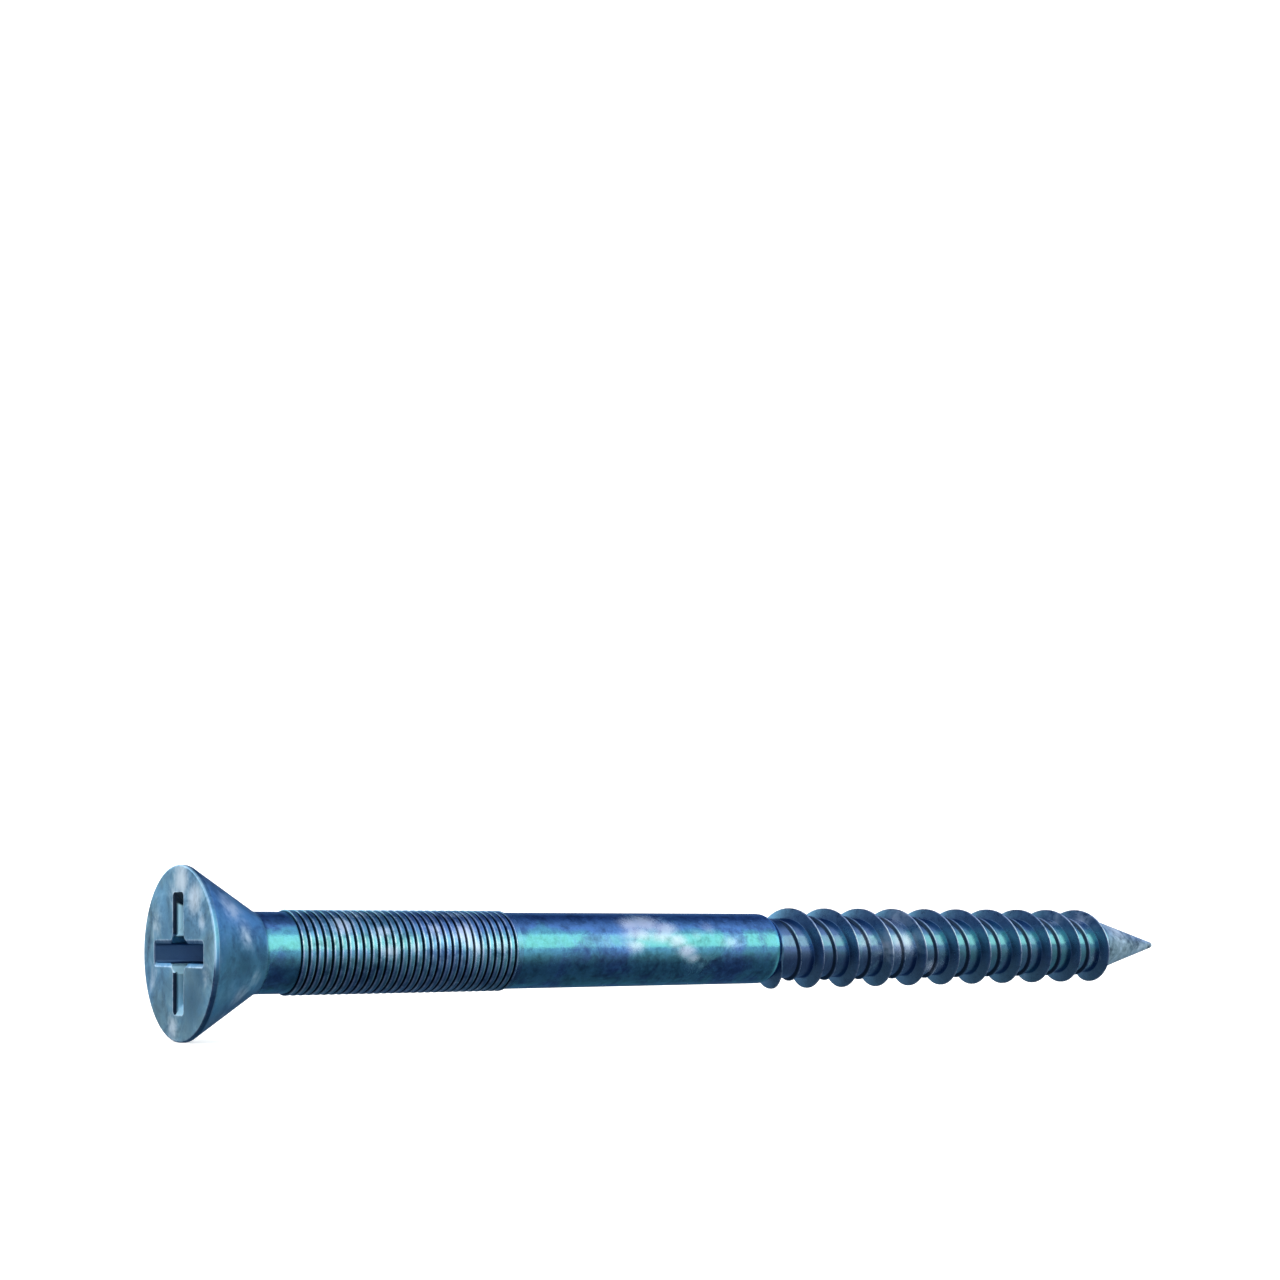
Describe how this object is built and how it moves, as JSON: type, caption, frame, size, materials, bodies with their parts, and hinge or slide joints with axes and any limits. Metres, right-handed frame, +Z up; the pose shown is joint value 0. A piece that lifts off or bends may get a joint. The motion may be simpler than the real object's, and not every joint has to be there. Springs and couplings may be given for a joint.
{
  "type": "wood screw",
  "caption": "Countersunk wood screw with cross recess, fine rings under the head, plain shank, coarse high-low right-hand thread and a cone point.",
  "frame": {"origin": "centre of the head's flat face, at the mouth of the cross recess", "axes": "+X along the screw's axis from the head to the point; +Z up with the screw lying, along one slot of the cross; +Y along the other slot"},
  "size_m": [0.0745, 0.009, 0.009],
  "materials": {
    "head_finish": "blue-grey mottled patina over steel, satin",
    "shank_finish": "deep blue tempered steel with lighter patches, satin",
    "ring_finish": "blue steel with worn pale crests, satin",
    "core_finish": "deep blue tempered steel, satin",
    "thread_finish": "dark blue steel with worn pale crests, satin",
    "point_finish": "blue-grey mottled patina over steel, satin"
  },
  "bodies": {
    "root": {"head": "head_finish", "neck": "shank_finish", "ring_band": "ring_finish", "shank": "shank_finish", "thread_core": "core_finish", "main_thread": "thread_finish", "low_thread": "thread_finish", "point": "point_finish"}
  },
  "joints": []
}
